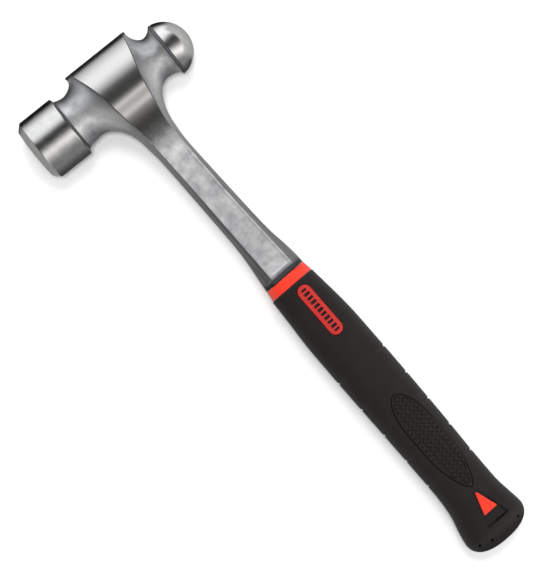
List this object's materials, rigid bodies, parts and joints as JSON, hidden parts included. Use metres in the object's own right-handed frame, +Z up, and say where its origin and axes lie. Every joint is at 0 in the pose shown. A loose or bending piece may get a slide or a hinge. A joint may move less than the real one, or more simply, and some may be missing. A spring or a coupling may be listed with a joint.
{
  "type": "ball peen hammer",
  "caption": "Steel ball peen hammer forged in one piece with its shank, with a flat striking face, a ball end and a cushioned grip over a forked tang.",
  "frame": {"origin": "on the surface that the hammer lies on, under the middle of its bounding box", "axes": "+X along the head from the striking face towards the ball, +Y along the handle from the butt towards the head, +Z up out of the hammer's side"},
  "size_m": [0.1082, 0.351, 0.0375],
  "materials": {
    "forged_steel": "forged and satin blasted, with a ground and polished striking end, cheek and ball",
    "red_plastic": "moulded, semi-gloss",
    "grip_rubber": "soft moulded rubber, matt",
    "pad_rubber": "textured moulded rubber, matt",
    "damper_rubber": "soft elastomer"
  },
  "bodies": {
    "root": {"forging": "forged_steel", "collar": "red_plastic", "inner_sleeve": "red_plastic", "fork_damper": "damper_rubber", "grip": "grip_rubber", "front_palm_pad": "pad_rubber", "back_palm_pad": "pad_rubber", "front_badge": "red_plastic", "back_badge": "red_plastic", "front_marker": "red_plastic", "back_marker": "red_plastic"}
  },
  "joints": []
}
